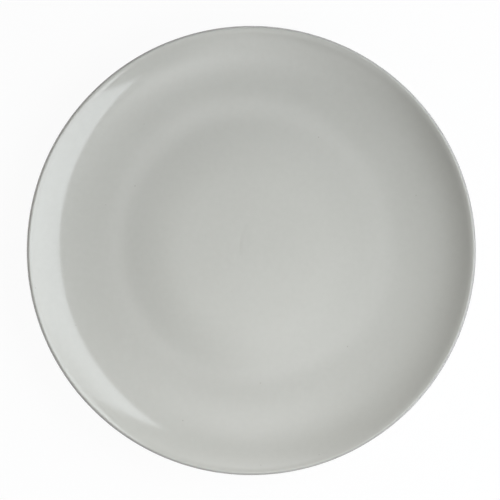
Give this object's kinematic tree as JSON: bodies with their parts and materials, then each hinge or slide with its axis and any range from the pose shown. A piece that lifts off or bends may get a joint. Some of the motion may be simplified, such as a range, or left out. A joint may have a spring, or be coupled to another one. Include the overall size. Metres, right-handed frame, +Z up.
{
  "type": "coupe dinner plate",
  "caption": "Round coupe dinner plate in pale grey glazed stoneware: a flat middle that curves up without a rim to a rounded lip, on a low bare foot ring.",
  "frame": {"origin": "centre of the foot ring's standing plane, which is the bottom of the part", "axes": "+Z up along the axis of revolution; X and Y lie in the table plane and are interchangeable"},
  "size_m": [0.27, 0.27, 0.024],
  "materials": {
    "bare_stoneware": "bare fired clay, fine grained and matt",
    "glaze": "smooth pale grey gloss glaze"
  },
  "bodies": {
    "root": {"clay_body": "bare_stoneware", "upper_glaze": "glaze", "base_glaze": "glaze"}
  },
  "joints": []
}
